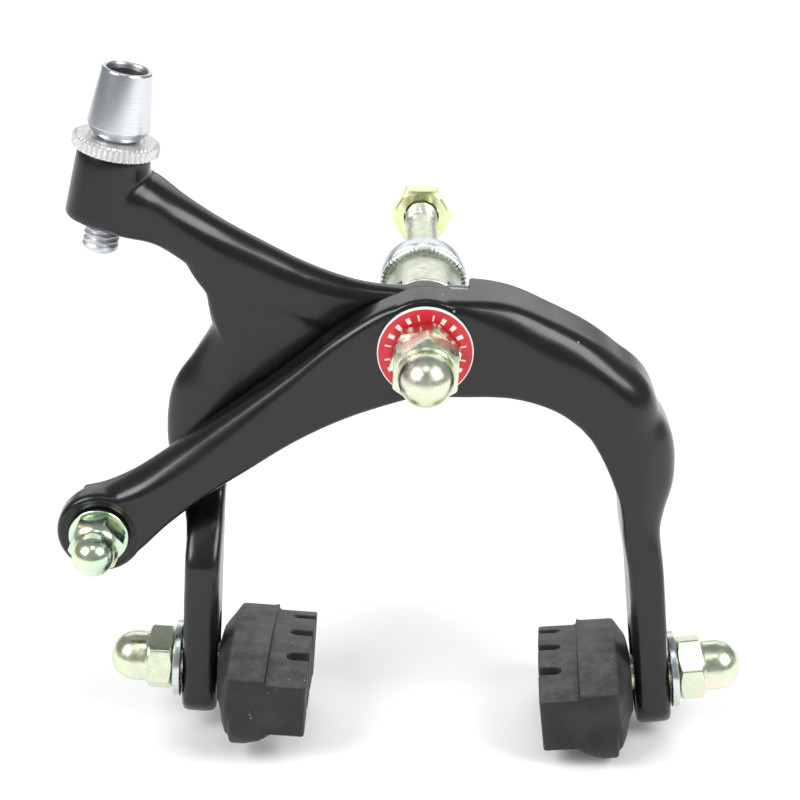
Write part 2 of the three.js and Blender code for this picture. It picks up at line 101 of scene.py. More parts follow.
# cable anchor and adjuster
EYE = (-52.9, -33.8, 7.1)
ADJUSTER = (-48.95, -21.3, 28.6)
ADJUSTER_TILT = 11.0
BOSS_LENGTH = 11.2
ANCHOR_BOLT_R = 2.5
ANCHOR_BORE_R = 2.8
STEM_R = 2.9
STEM_BORE_R = 3.2
RING_CLEARANCE_R = 8.0
LUG_R = 2.2
LUG_END = -14.4
LUG_Z = -20.6
LUG_X = 35.4

# how finely the shapes are made
ARM_VOXEL = 0.36
PAD_VOXEL = 0.24
SOFTEN_FACTOR = 0.5
HEX_CORNER_R = 0.3
HEX_CORNER_STEPS = 4
LIMB_CORNER_STEPS = 5
LIMB_STATION_STEPS = 6
THREAD_STEP = 0.11


def turn(axis, degrees):
    return Matrix.Rotation(math.radians(degrees), 4, axis)


def shift(x, y, z):
    return Matrix.Translation(Vector((x, y, z)) * MM)


ALONG_Y = turn("X", -90)
ON_ADJUSTER = shift(*ADJUSTER) @ turn("Y", ADJUSTER_TILT)
ON_ANCHOR = shift(EYE[0], 0, EYE[1]) @ ALONG_Y


def shoe_place(shoe):
    place = shift(shoe["x"], STUD_Y, shoe["z"])
    return place @ turn("Y", -shoe["side"] * shoe["lean"]) @ turn("Z", 90 * shoe["side"])


# ---- mesh helpers ----
def shade(obj, angle=32):
    """Smooth faces, with sharp edges where the surface turns by more than angle."""
    bm = bmesh.new()
    bm.from_mesh(obj.data)
    bmesh.ops.recalc_face_normals(bm, faces=bm.faces)
    for face in bm.faces:
        face.smooth = True
    for edge in bm.edges:
        edge.smooth = len(edge.link_faces) == 2 and edge.calc_face_angle(0) < math.radians(angle)
    bm.to_mesh(obj.data)
    bm.free()
    return obj


def build(name, verts, faces, place=None, angle=32):
    """An object from points in millimetres; place puts it in the row frame."""
    mesh = bpy.data.meshes.new(name)
    mesh.from_pydata([Vector(v) * MM for v in verts], [], faces)
    obj = bpy.data.objects.new(name, mesh)
    bpy.context.scene.collection.objects.link(obj)
    if place is not None:
        obj.matrix_world = place
    return shade(obj, angle)


def settle(obj, place):
    """Moves a mesh made in the row frame into the axes of place, so its textures run along the part."""
    bpy.context.view_layer.update()
    obj.data.transform(place.inverted() @ obj.matrix_world)
    obj.matrix_world = place
    return obj


def rounded(points, radius, steps=4):
    """A polyline with its corners rounded; each radius is cut to fit its corner."""
    out = [points[0]]
    for i in range(1, len(points) - 1):
        p = Vector(points[i])
        a = Vector(points[i - 1]) - p
        b = Vector(points[i + 1]) - p
        half = a.angle(b, 0) / 2
        if half < 0.05 or half > 1.54:
            out.append(tuple(p))
            continue
        reach = min(radius / math.tan(half), a.length * 0.45, b.length * 0.45)
        start = p + a.normalized() * reach
        end = p + b.normalized() * reach
        for k in range(steps + 1):
            t = k / steps
            q = start * (1 - t) ** 2 + p * 2 * t * (1 - t) + end * t * t
            out.append(tuple(q))
    out.append(points[-1])
    return out


def lathe(name, profile, place, count=96, closed=False, wave=None, angle=32):
    """A turned surface about local Z from (radius, z) pairs. wave(index, angle, r, z) may bend it."""
    verts, rows, faces = [], [], []
    for i, (r, z) in enumerate(profile):
        if r < 1e-6:
            rows.append([len(verts)] * count)
            verts.append((0, 0, z))
            continue
        rows.append(list(range(len(verts), len(verts) + count)))
        for k in range(count):
            a = math.tau * k / count
            rr, zz = wave(i, a, r, z) if wave else (r, z)
            verts.append((rr * math.cos(a), rr * math.sin(a), zz))
    pairs = list(zip(rows, rows[1:]))
    if closed:
        pairs.append((rows[-1], rows[0]))
    for low, high in pairs:
        for k in range(count):
            n = (k + 1) % count
            corner = [low[k], low[n], high[n], high[k]]
            unique = list(dict.fromkeys(corner))
            if len(unique) > 2:
                faces.append(unique)
    return build(name, verts, faces, place, angle)


def washer(name, outer, inner, y0, y1, place, edge=0.12, count=96):
    """A flat ring with softly broken edges."""
    seam = (inner, (y0 + y1) / 2)
    loop = [seam, (inner, y0), (outer, y0), (outer, y1), (inner, y1), seam]
    return lathe(name, rounded(loop, edge, 3)[:-1], place, count, closed=True)


def prism(outline, y0, y1, place=None, name="cutter"):
    """A straight solid from an outline in local XY, between two heights."""
    n = len(outline)
    verts = [(x, y, y0) for x, y in outline] + [(x, y, y1) for x, y in outline]
    faces = [list(range(n))[::-1], list(range(n, 2 * n))]
    faces += [[i, (i + 1) % n, n + (i + 1) % n, n + i] for i in range(n)]
    return build(name, verts, faces, place)


def cylinder(radius, z0, z1, place=None, count=64):
    turns = [math.tau * k / count for k in range(count)]
    return prism([(radius * math.cos(a), radius * math.sin(a)) for a in turns], z0, z1, place)


def box(x0, x1, y0, y1, z0, z1, place=None):
    return prism([(x0, y0), (x1, y0), (x1, y1), (x0, y1)], z0, z1, place)


def combine(obj, other, operation="DIFFERENCE"):
    """A boolean that is applied at once; other is used up."""
    modifier = obj.modifiers.new("combine", "BOOLEAN")
    modifier.operation = operation
    modifier.solver = "MANIFOLD"
    modifier.object = other
    bpy.context.view_layer.update()
    graph = bpy.context.evaluated_depsgraph_get()
    made = bpy.data.meshes.new_from_object(obj.evaluated_get(graph))
    obj.modifiers.clear()
    obj.data = made
    bpy.data.objects.remove(other)
    return obj


def fuse(obj, voxel, passes):
    """Melts overlapping shells into one skin and softens it, as a casting."""
    remesh = obj.modifiers.new("fuse", "REMESH")
    remesh.mode = "VOXEL"
    remesh.voxel_size = voxel * MM
    soften = obj.modifiers.new("soften", "SMOOTH")
    soften.factor = SOFTEN_FACTOR
    soften.iterations = passes
    bpy.context.view_layer.update()
    graph = bpy.context.evaluated_depsgraph_get()
    made = bpy.data.meshes.new_from_object(obj.evaluated_get(graph))
    obj.modifiers.clear()
    obj.data = made
    return obj


def merge(name, parts):
    """Several shells as one object in the row frame."""
    bm = bmesh.new()
    for part in parts:
        bpy.context.view_layer.update()
        mesh = part.data.copy()
        mesh.transform(part.matrix_world)
        bm.from_mesh(mesh)
        bpy.data.objects.remove(part)
    mesh = bpy.data.meshes.new(name)
    bm.to_mesh(mesh)
    bm.free()
    obj = bpy.data.objects.new(name, mesh)
    bpy.context.scene.collection.objects.link(obj)
    return obj


# ---- nuts ----
def hex_outline(flats, spin):
    """A hexagon whose six corners are slightly rounded."""
    corner = flats / math.sqrt(3)
    pts = [(corner * math.cos(math.radians(60 * k + spin)), corner * math.sin(math.radians(60 * k + spin)))
           for k in range(6)]
    out = []
    for k in range(6):
        p = Vector(pts[k])
        a = (Vector(pts[k - 1]) - p).normalized() * HEX_CORNER_R
        b = (Vector(pts[(k + 1) % 6]) - p).normalized() * HEX_CORNER_R
        for s in range(HEX_CORNER_STEPS + 1):
            t = s / HEX_CORNER_STEPS
            out.append(tuple((p + a) * (1 - t) ** 2 + p * 2 * t * (1 - t) + (p + b) * t * t))
    return out


def hexagon(name, flats, z0, z1, place, spin, chamfer=0.55):
    """A hex nut body with cone-cut corners at both ends."""
    corner = flats / math.sqrt(3)
    body = prism(hex_outline(flats, spin), z0, z1, None, name)
    cone = [(0, z0), (corner - chamfer * 1.75, z0), (corner + 0.02, z0 + chamfer),
            (corner + 0.02, z1 - chamfer), (corner - chamfer * 1.75, z1), (0, z1)]
    combine(body, lathe("cone", cone, None, 120), "INTERSECT")
    body.matrix_world = place
    return body


def dome_nut(name, flats, foot, length, dome, bore, place, spin):
    """A dome nut that points along local -Z: its hex stands on foot, its dome rises past the hex."""
    top = foot - length
    domed = flats * 0.425
    straight = dome - domed
    body = hexagon(name, flats, top, foot, Matrix(), spin)
    profile = [(0, foot - 0.5), (domed + 0.3, foot - 0.5), (domed + 0.3, top + 0.05), (domed, top - 0.35)]
    for i in range(1, 25):
        a = (i / 24) * math.pi / 2
        profile.append((domed * math.cos(a) if i < 24 else 0, top - straight - domed * math.sin(a)))
    combine(body, lathe("dome", profile, None, 96), "UNION")
    combine(body, cylinder(bore, top - straight - 0.4, foot + 1, None, 48))
    body.matrix_world = place
    return shade(body, 25)


# ---- limbs ----
def soft_polygon(corners, radii):
    """Points round a polygon with its corners rounded, the same number for any corners."""
    out = []
    n = len(corners)
    for i in range(n):
        p = Vector(corners[i])
        a = Vector(corners[i - 1]) - p
        b = Vector(corners[(i + 1) % n]) - p
        ra = min(radii[i], a.length * 0.48)
        rb = min(radii[i], b.length * 0.48)
        start = p + a.normalized() * ra
        end = p + b.normalized() * rb
        for k in range(LIMB_CORNER_STEPS + 1):
            t = k / LIMB_CORNER_STEPS
            out.append(start * (1 - t) ** 2 + p * 2 * t * (1 - t) + end * t * t)
    return out


def smooth_stations(rows, fine):
    """A smooth curve through the stations, every value carried along together."""
    def between(a, b, c, d, t):
        bend = (2 * a - 5 * b + 4 * c - d) * t * t
        return 0.5 * (2 * b + (c - a) * t + bend + (3 * b - a - 3 * c + d) * t ** 3)

    out = []
    for i in range(len(rows) - 1):
        p = [rows[max(0, i - 1)], rows[i], rows[i + 1], rows[min(len(rows) - 1, i + 2)]]
        for s in range(fine):
            out.append([between(*values, s / fine) for values in zip(*p)])
    out.append(list(rows[-1]))
    return out


def limb(rows, edge=1.6):
    """A forged limb. Each row is x, z, half width, front y, back y, bevel width, bevel depth.
    The bevel is along the front edge on the side that lies left of the way the rows run."""
    rows = smooth_stations(rows, LIMB_STATION_STEPS)
    rings = []
    for i, (x, z, half, front, back, wide, deep) in enumerate(rows):
        a = rows[max(0, i - 1)]
        b = rows[min(len(rows) - 1, i + 1)]
        along = Vector((b[0] - a[0], b[1] - a[1])).normalized()
        across = Vector((-along.y, along.x))
        wide = min(wide, half * 1.7)
        deep = min(deep, (back - front) * 0.7)
        soft = min(edge, half * 0.6, (back - front) * 0.4)
        corners = [(-half, front), (half - wide, front), (half, front + deep), (half, back), (-half, back)]
        ring = soft_polygon(corners, [soft, 0.6 * wide + 0.5, 0.6 * deep + 0.5, soft, soft])
        rings.append([(x + across.x * q.x, q.y, z + across.y * q.x) for q in ring])
    count = len(rings[0])
    verts = [v for ring in rings for v in ring]
    faces = []
    for i in range(len(rings) - 1):
        for j in range(count):
            k = (j + 1) % count
            faces.append([i * count + j, i * count + k, (i + 1) * count + k, (i + 1) * count + j])
    faces.append(list(range(count))[::-1])
    faces.append(list(range((len(rings) - 1) * count, len(rings) * count)))
    return build("limb", verts, faces)


def leg_rows(shoe, top):
    """Rows of a leg from its top to its rounded foot."""
    lean = math.radians(shoe["lean"])
    foot = SLOT_DOWN + 5.1

    def down(d):
        return [shoe["x"] + shoe["side"] * math.sin(lean) * d, shoe["z"] - math.cos(lean) * d]

    rows = [down(d) + [LEG_HALF_X, STUD_Y - LEG_HALF_Y, STUD_Y + LEG_HALF_Y, 0.8, 0.8]
            for d in (-top, -top * 0.6, -top * 0.3, 0, foot - LEG_HALF_Y)]
    for a in (20, 38, 54, 68, 79, 86):
        half = math.cos(math.radians(a)) * LEG_HALF_Y
        thin = LEG_HALF_X - 0.5 * max(0, (a - 50) / 34)
        d = foot - LEG_HALF_Y + math.sin(math.radians(a)) * LEG_HALF_Y
        rows.append(down(d) + [thin, STUD_Y - half, STUD_Y + half, 0.7, min(0.7, half * 0.5)])
    return rows


def slot_cut(arm, shoe):
    """The through slot for the pad stud."""
    outline = []
    for k in range(49):
        a = math.pi * k / 48
        outline.append((BORE_R * math.cos(a), SLOT_UP + BORE_R * math.sin(a)))
    for k in range(49):
        a = math.pi + math.pi * k / 48
        outline.append((BORE_R * math.cos(a), -SLOT_DOWN + BORE_R * math.sin(a)))
    place = shoe_place(shoe) @ turn("X", 90)
    return combine(arm, prism(outline, -6, 6, place))


def hub_disc(radius, y0, y1, edge):
    loop = rounded([(0, y0), (radius, y0), (radius, y1), (0, y1)], edge, 5)
    return lathe("disc", loop, ALONG_Y, 96)


# ---- arms ----
def front_arm():
    f, b = FRONT_HUB
    branch = limb([
        [EYE[0], EYE[1], 6.9, f, b, 1.0, 1.0],
        [-49.5, -31.9, 6.0, f, b, 1.3, 2.6],
        [-44.3, -28.1, 4.9, f, b, 2.1, 3.0],
        [-37.3, -22.7, 4.6, f, b, 2.7, 2.6],
        [-30.8, -18.0, 4.75, f, b, 2.4, 2.1],
        [-24.1, -13.1, 5.0, f, b, 1.9, 1.7],
        [-17.4, -8.6, 5.7, f, b, 1.4, 1.3],
        [-10.4, -4.3, 7.0, f, b, 1.0, 1.0],
        [-3.0, -0.8, 8.1, f, b, 0.8, 0.8],
        [1.5, -0.3, 8.2, f, b, 0.8, 0.8],
    ], edge=1.3)
    shoulder = limb([
        [-2.0, -0.3, 8.2, f, FULL_BACK, 0.8, 0.8],
        [5.0, -0.4, 8.2, f, FULL_BACK, 1.2, 1.0],
        [11.5, -0.8, 7.8, f, FULL_BACK, 3.0, 1.9],
        [17.9, -2.6, 6.8, f, FULL_BACK, 3.6, 2.6],
        [23.7, -5.1, 6.3, f - 0.1, FULL_BACK, 3.0, 2.8],
        [28.0, -8.1, 6.1, f - 0.2, FULL_BACK, 2.5, 3.0],
        [31.3, -11.0, 6.3, f - 0.4, FULL_BACK - 0.2, 3.0, 3.5],
        [33.4, -14.9, 5.8, f - 0.6, FULL_BACK - 0.6, 3.9, 3.9],
        [35.5, -18.9, 5.85, f - 0.9, FULL_BACK - 1.2, 5.5, 4.2],
        [36.6, -24.0, 5.1, f - 1.2, FULL_BACK - 2.0, 5.8, 4.0],
        [36.5, -28.6, 3.9, f - 1.5, FULL_BACK - 2.8, 4.2, 3.3],
        [36.4, -32.6, 3.2, f - 1.8, FULL_BACK - 3.5, 2.3, 2.2],
        *leg_rows(RIGHT_SHOE, 22.0),
    ], edge=1.6)
    combine(shoulder, cylinder(7.9, b, -10, ALONG_Y, 96))
    combine(shoulder, box(-12, 7.0, -12, 12, b, -10, ALONG_Y))
    lug = cylinder(LUG_R, FULL_BACK - 4, LUG_END, shift(LUG_X, 0, LUG_Z) @ ALONG_Y, 48)
    rim = [(0, f), (EYE[2], f), (EYE[2], b - 3.0), (5.4, b), (0, b)]
    eye = lathe("eye", rounded(rim, 1.1, 5), ON_ANCHOR, 96)
    arm = merge("front_lever_arm", [branch, eye, hub_disc(8.4, f, b, 0.8), shoulder, lug])
    fuse(arm, ARM_VOXEL, 7)
    sunk = [(0, f - 2), (6.2, f - 2), (6.2, f + 0.1), (5.9, f + 0.22), (0, f + 0.22)]
    spot = lathe("spot", sunk, ON_ANCHOR, 96)
    combine(arm, spot)
    combine(arm, cylinder(BORE_R, -60, 10, ALONG_Y))
    combine(arm, cylinder(ANCHOR_BORE_R, -60, 10, ON_ANCHOR))
    slot_cut(arm, RIGHT_SHOE)
    shade(arm, 38)
    return finish(arm, "front_lever", "front_arm", black_paint)


def rear_arm():
    f, b = REAR_HUB
    back = b + 0.8
    crest = limb([
        [-50.4, 21.4, 4.9, f - 3.1, f + 8.0, 2.4, 2.6],
        [-45.4, 19.9, 5.0, f - 2.6, f + 7.0, 2.6, 3.0],
        [-40.5, 17.3, 4.2, f - 1.4, f + 6.0, 2.6, 3.0],
        [-34.5, 13.2, 4.3, f - 0.7, back + 0.8, 2.6, 2.7],
        [-27.6, 9.4, 4.4, f - 0.5, back + 0.4, 2.4, 2.3],
        [-20.6, 6.0, 4.4, f - 0.4, back, 2.2, 2.0],
        [-13.0, 2.9, 4.9, f - 0.2, back - 0.3, 1.8, 1.5],
        [-6.0, 0.6, 6.2, f, back - 0.6, 1.2, 1.0],
        [0.0, -0.4, 6.9, f, b, 0.8, 0.8],
    ], edge=2.0)
    edge = limb([
        [-38.0, 14.6, 2.0, f - 0.3, f + 6.4, 0.5, 0.5],
        [-34.6, 10.3, 3.3, f - 0.1, back + 1.4, 0.6, 0.6],
        [-31.4, 6.9, 4.3, f, back + 1.0, 0.8, 0.8],
        [-30.4, 2.6, 4.5, f, back + 1.0, 1.2, 1.0],
        [-30.4, -2.0, 4.4, f, back + 1.2, 2.4, 1.7],
        [-33.3, -8.4, 5.0, f, back + 1.6, 4.2, 2.8],
        [-35.6, -13.8, 6.1, f, back + 1.6, 5.4, 3.3],
        [-36.9, -19.4, 5.8, f, back + 1.2, 4.8, 3.1],
        [-37.0, -24.8, 5.2, f, back + 0.2, 3.6, 2.4],
        [-36.5, -29.6, 3.9, f - 1.4, back - 1.2, 2.0, 1.5],
        [-35.9, -34.0, 3.1, f - 6.6, STUD_Y + LEG_HALF_Y + 0.6, 1.0, 0.9],
        [-36.0, -38.4, 2.95, f - 10.2, STUD_Y + LEG_HALF_Y, 0.8, 0.8],
        *leg_rows(LEFT_SHOE, 16.5),
    ][::-1], edge=1.8)
    arch = limb([
        [0.0, -0.6, 6.7, f, b, 0.8, 0.8],
        [-8.0, -2.6, 6.4, f, back - 0.6, 0.8, 0.8],
        [-15.5, -3.6, 5.6, f, back - 0.2, 0.8, 0.8],
        [-21.5, -6.2, 5.4, f, back + 0.2, 0.8, 0.8],
        [-26.5, -10.0, 5.0, f, back + 0.6, 0.8, 0.8],
        [-30.5, -15.0, 4.6, f, back + 0.8, 0.8, 0.8],
        [-33.4, -20.6, 4.2, f, back + 0.6, 0.8, 0.8],
        [-35.0, -26.6, 3.6, f, back - 0.4, 0.8, 0.8],
    ], edge=1.8)
    web = limb([
        [-34.6, 11.4, 2.0, f + 0.05, back - 0.3, 0.3, 0.2],
        [-31.0, 7.4, 4.2, f + 0.05, back - 0.3, 0.3, 0.2],
        [-26.5, 2.6, 8.4, f + 0.05, back - 0.4, 0.3, 0.2],
        [-20.0, -0.4, 8.6, f + 0.05, back - 0.5, 0.3, 0.2],
        [-12.0, -0.4, 6.0, f + 0.05, back - 0.6, 0.3, 0.2],
    ], edge=0.3)
    foot = -BOSS_LENGTH
    profile = [
        (0, foot - 0.2), (6.2, foot - 0.2), (6.35, foot + 0.3), (6.25, foot + 1.6), (5.9, -1.2),
        (5.6, 0.4), (0, 0.4),
    ]
    boss = lathe("boss", rounded(profile, 0.45, 4), ON_ADJUSTER, 96)
    lug = cylinder(LUG_R, back - 2, LUG_END, shift(-LUG_X, 0, LUG_Z) @ ALONG_Y, 48)
    arm = merge("rear_lever_arm", [crest, edge, arch, web, boss, lug, hub_disc(7.3, f, b, 0.5)])
    fuse(arm, ARM_VOXEL, 16)
    combine(arm, cylinder(BORE_R, -60, 10, ALONG_Y))
    combine(arm, cylinder(9.0, b, 0, ALONG_Y, 96))
    combine(arm, cylinder(STEM_BORE_R, -40, 40, ON_ADJUSTER))
    combine(arm, cylinder(RING_CLEARANCE_R, -0.3, 20, ON_ADJUSTER, 96))
    slot_cut(arm, LEFT_SHOE)
    shade(arm, 38)
    return finish(arm, "rear_lever", "rear_arm", black_paint)


# ---- materials ----
def material(name):
    """A new node material, its tree, its shader and a maker of nodes."""
    made = bpy.data.materials.new(name)
    made.use_nodes = True
    tree = made.node_tree
    shader = tree.nodes["Principled BSDF"]

    def add(kind, inputs=None, **props):
        node = tree.nodes.new(kind)
        for key, value in props.items():
            setattr(node, key, value)
        for key, value in (inputs or {}).items():
            if isinstance(value, bpy.types.NodeSocket):
                tree.links.new(value, node.inputs[key])
            else:
                node.inputs[key].default_value = value
        return node

    return made, tree, shader, add


def noise(add, where, scale, detail=3.0, rough=0.5):
    node = add("ShaderNodeTexNoise", {"Vector": where, "Scale": scale, "Detail": detail, "Roughness": rough})
    return node.outputs["Fac"]


def span(add, value, low, high, out_low=0.0, out_high=1.0):
    """Value from low to high, stretched to run from out_low to out_high."""
    limits = {"Value": value, "From Min": low, "From Max": high, "To Min": out_low, "To Max": out_high}
    return add("ShaderNodeMapRange", limits).outputs["Result"]


def product(add, a, b):
    return add("ShaderNodeMath", {0: a, 1: b}, operation="MULTIPLY").outputs[0]


def total(add, a, b):
    return add("ShaderNodeMath", {0: a, 1: b}, operation="ADD").outputs[0]


def ramp(add, value, stops):
    node = add("ShaderNodeValToRGB", {"Fac": value})
    bar = node.color_ramp
    while len(bar.elements) > 1:
        bar.elements.remove(bar.elements[0])
    bar.elements[0].position = stops[0][0]
    bar.elements[0].color = (*stops[0][1], 1)
    for position, colour in stops[1:]:
        bar.elements.new(position).color = (*colour, 1)
    return node.outputs["Color"]


def mix(add, factor, a, b):
    node = add("ShaderNodeMix", {"Factor": factor}, data_type="RGBA")
    tree = node.id_data
    for index, value in ((6, a), (7, b)):
        if isinstance(value, bpy.types.NodeSocket):
            tree.links.new(value, node.inputs[index])
        else:
            node.inputs[index].default_value = (*value, 1)
    return node.outputs[2]


def bump(add, height, strength, distance):
    node = add("ShaderNodeBump", {"Height": height, "Strength": strength, "Distance": distance * MM})
    return node.outputs["Normal"]


def paint_material():
    made, tree, shader, add = material("black_paint")
    where = add("ShaderNodeTexCoord").outputs["Object"]
    dust = add("ShaderNodeTexVoronoi", {"Vector": where, "Scale": 260.0})
    speck = span(add, dust.outputs["Distance"], 0.035, 0.06, 1.0, 0.0)
    rare = span(add, noise(add, where, 90.0, 1.0), 0.62, 0.66)
    spots = product(add, speck, rare)
    tone = ramp(add, noise(add, where, 60.0), [(0.3, (0.004, 0.004, 0.0045)), (0.7, (0.006, 0.006, 0.0065))])
    tree.links.new(mix(add, spots, tone, (0.35, 0.35, 0.34)), shader.inputs["Base Color"])
    tree.links.new(span(add, noise(add, where, 220.0, 4.0), 0.3, 0.7, 0.24, 0.31), shader.inputs["Roughness"])
    tree.links.new(bump(add, noise(add, where, 900.0, 2.0), 0.05, 0.05), shader.inputs["Normal"])
    shader.inputs["Specular IOR Level"].default_value = 0.40
    shader.inputs["Coat Weight"].default_value = 0.15
    shader.inputs["Coat Roughness"].default_value = 0.12
    return made


def plated_material(name, tints, rough, grain):
    """Bright plating: a cloudy mix of three tints, fine scratches and a faintly uneven polish."""
    made, tree, shader, add = material(name)
    where = add("ShaderNodeTexCoord").outputs["Object"]
    cloud = noise(add, where, 190.0, 2.0)
    tint = ramp(add, cloud, list(zip((0.32, 0.5, 0.68), tints)))
    fine = noise(add, where, 1600.0, 4.0, 0.7)
    spots = span(add, fine, 0.62, 0.72)
    darker = mix(add, spots, tint, tuple(c * 0.6 for c in tints[0]))
    tree.links.new(darker, shader.inputs["Base Color"])
    polish = span(add, noise(add, where, 700.0, 3.0), 0.3, 0.7, rough * 0.7, rough * 1.35)
    tree.links.new(polish, shader.inputs["Roughness"])
    tree.links.new(bump(add, fine, grain, 0.03), shader.inputs["Normal"])
    shader.inputs["Metallic"].default_value = 1.0
    return made


def turned_material(name, rough, pitch):
    """Turned aluminium with fine lines round its local Z axis."""
    made, tree, shader, add = material(name)
    where = add("ShaderNodeTexCoord").outputs["Object"]
    parts = add("ShaderNodeSeparateXYZ", {"Vector": where})
    wobble = noise(add, where, 400.0, 2.0)
    height = product(add, parts.outputs["Z"], 1000.0 / pitch)
    moved = total(add, height, wobble)
    lines = noise(add, add("ShaderNodeCombineXYZ", {"Z": moved}).outputs[0], 1.0, 3.0, 0.8)
    tone = ramp(add, lines, [(0.3, (0.52, 0.53, 0.55)), (0.7, (0.80, 0.81, 0.83))])
    flat = add("ShaderNodeCombineXYZ", {"X": parts.outputs["X"], "Y": parts.outputs["Y"]}).outputs[0]
    radius = add("ShaderNodeVectorMath", {0: flat}, operation="LENGTH").outputs["Value"]
    # Painted shade: deep inside the bore, past 5 to 6 mm along the axis, the colour is made dark; that region
    # is also made rougher.
    inner = span(add, radius, 3.1 * MM, 3.3 * MM, 1.0, 0.0)
    deep = product(add, inner, span(add, parts.outputs["Z"], 5.0 * MM, 6.0 * MM))
    tree.links.new(mix(add, deep, tone, (0.16, 0.16, 0.165)), shader.inputs["Base Color"])
    smooth = span(add, lines, 0.3, 0.7, rough * 1.3, rough * 0.8)
    matte = total(add, smooth, span(add, inner, 0.0, 1.0, 0.0, 0.24))
    tree.links.new(matte, shader.inputs["Roughness"])
    tree.links.new(bump(add, lines, 0.5, 0.02), shader.inputs["Normal"])
    shader.inputs["Metallic"].default_value = 1.0
    return made


def cast_metal_material(name):
    """Bead-blasted aluminium of the knurled ring."""
    made, tree, shader, add = material(name)
    where = add("ShaderNodeTexCoord").outputs["Object"]
    grains = noise(add, where, 2200.0, 3.0, 0.7)
    tone = ramp(add, grains, [(0.3, (0.62, 0.62, 0.62)), (0.7, (0.82, 0.82, 0.81))])
    tree.links.new(tone, shader.inputs["Base Color"])
    tree.links.new(span(add, grains, 0.3, 0.7, 0.5, 0.36), shader.inputs["Roughness"])
    tree.links.new(bump(add, grains, 0.4, 0.05), shader.inputs["Normal"])
    shader.inputs["Metallic"].default_value = 0.85
    return made


def rubber_material():
    made, tree, shader, add = material("pad_rubber")
    where = add("ShaderNodeTexCoord").outputs["Object"]
    cloud = noise(add, where, 130.0, 4.0, 0.6)
    tone = ramp(add, cloud, [(0.3, (0.013, 0.0135, 0.014)), (0.7, (0.026, 0.027, 0.028))])
    # Painted light: faces that point upward are given a lighter colour, broken into patches by noise, where
    # light from above falls on them.
    normal = add("ShaderNodeNewGeometry").outputs["Normal"]
    upward = span(add, add("ShaderNodeSeparateXYZ", {"Vector": normal}).outputs["Z"], 0.35, 0.95)
    top_light_patches = span(add, noise(add, where, 420.0, 5.0, 0.7), 0.35, 0.75, 0.25, 1.0)
    worn_red_and_painted_top_light = product(add, upward, top_light_patches)
    tone = mix(add, worn_red_and_painted_top_light, tone, (0.085, 0.088, 0.088))
    dust = add("ShaderNodeTexVoronoi", {"Vector": where, "Scale": 900.0})
    speck = span(add, dust.outputs["Distance"], 0.08, 0.14, 1.0, 0.0)
    rare = span(add, noise(add, where, 300.0, 2.0), 0.56, 0.64)
    spots = product(add, speck, rare)
    tree.links.new(mix(add, spots, tone, (0.30, 0.31, 0.31)), shader.inputs["Base Color"])
    tree.links.new(span(add, cloud, 0.3, 0.7, 0.66, 0.46), shader.inputs["Roughness"])
    grain = noise(add, where, 1500.0, 4.0, 0.6)
    tree.links.new(bump(add, grain, 0.35, 0.08), shader.inputs["Normal"])
    shader.inputs["Specular IOR Level"].default_value = 0.3
    return made


def disc_material():
    """Red enamel with a white rim and a ring of white bars."""
    made, tree, shader, add = material("red_enamel")
    where = add("ShaderNodeTexCoord").outputs["Object"]
    parts = add("ShaderNodeSeparateXYZ", {"Vector": where})
    x, y = parts.outputs["X"], parts.outputs["Y"]

    def calc(kind, a, b=0.0):
        return add("ShaderNodeMath", {0: a, 1: b}, operation=kind).outputs[0]

    radius = calc("SQRT", calc("ADD", calc("MULTIPLY", x, x), calc("MULTIPLY", y, y)))
    angle = calc("MULTIPLY", calc("ARCTAN2", y, x), 1 / math.tau)
    rim = span(add, radius, 7.38 * MM, 7.44 * MM)
    bars = calc("FRACT", calc("MULTIPLY", calc("ADD", angle, 1.0), 20.0))
    bar = calc("SUBTRACT", 0.5, calc("ABSOLUTE", calc("SUBTRACT", bars, 0.5)))
    on_bar = span(add, bar, 0.30, 0.34)
    past_inner = span(add, radius, 5.45 * MM, 5.53 * MM)
    inside = calc("MULTIPLY", past_inner, span(add, radius, 6.45 * MM, 6.53 * MM, 1.0, 0.0))
    groups = calc("FRACT", calc("MULTIPLY", calc("ADD", angle, 1.0), 4.0))
    gap = span(add, calc("ABSOLUTE", calc("SUBTRACT", groups, 0.5)), 0.38, 0.40, 1.0, 0.0)
    marks = calc("MULTIPLY", calc("MULTIPLY", on_bar, inside), gap)
    white = calc("MAXIMUM", rim, marks)
    reds = [(0.3, (0.50, 0.010, 0.022)), (0.7, (0.62, 0.018, 0.030))]
    worn_red_and_painted_top_light = ramp(add, noise(add, where, 500.0, 3.0), reds)
    tree.links.new(mix(add, white, worn_red_and_painted_top_light, (0.78, 0.77, 0.76)), shader.inputs["Base Color"])
    tree.links.new(span(add, noise(add, where, 900.0, 2.0), 0.3, 0.7, 0.16, 0.24), shader.inputs["Roughness"])
    relief = calc("ADD", white, noise(add, where, 2000.0))
    tree.links.new(bump(add, relief, 0.1, 0.02), shader.inputs["Normal"])
    return made


def nylon_material():
    made, tree, shader, add = material("nylon")
    where = add("ShaderNodeTexCoord").outputs["Object"]
    cloud = noise(add, where, 500.0, 3.0)
    tone = ramp(add, cloud, [(0.3, (0.62, 0.62, 0.58)), (0.7, (0.76, 0.76, 0.72))])
    tree.links.new(tone, shader.inputs["Base Color"])
    tree.links.new(bump(add, cloud, 0.2, 0.05), shader.inputs["Normal"])
    shader.inputs["Roughness"].default_value = 0.45
    shader.inputs["Subsurface Weight"].default_value = 0.1
    return made


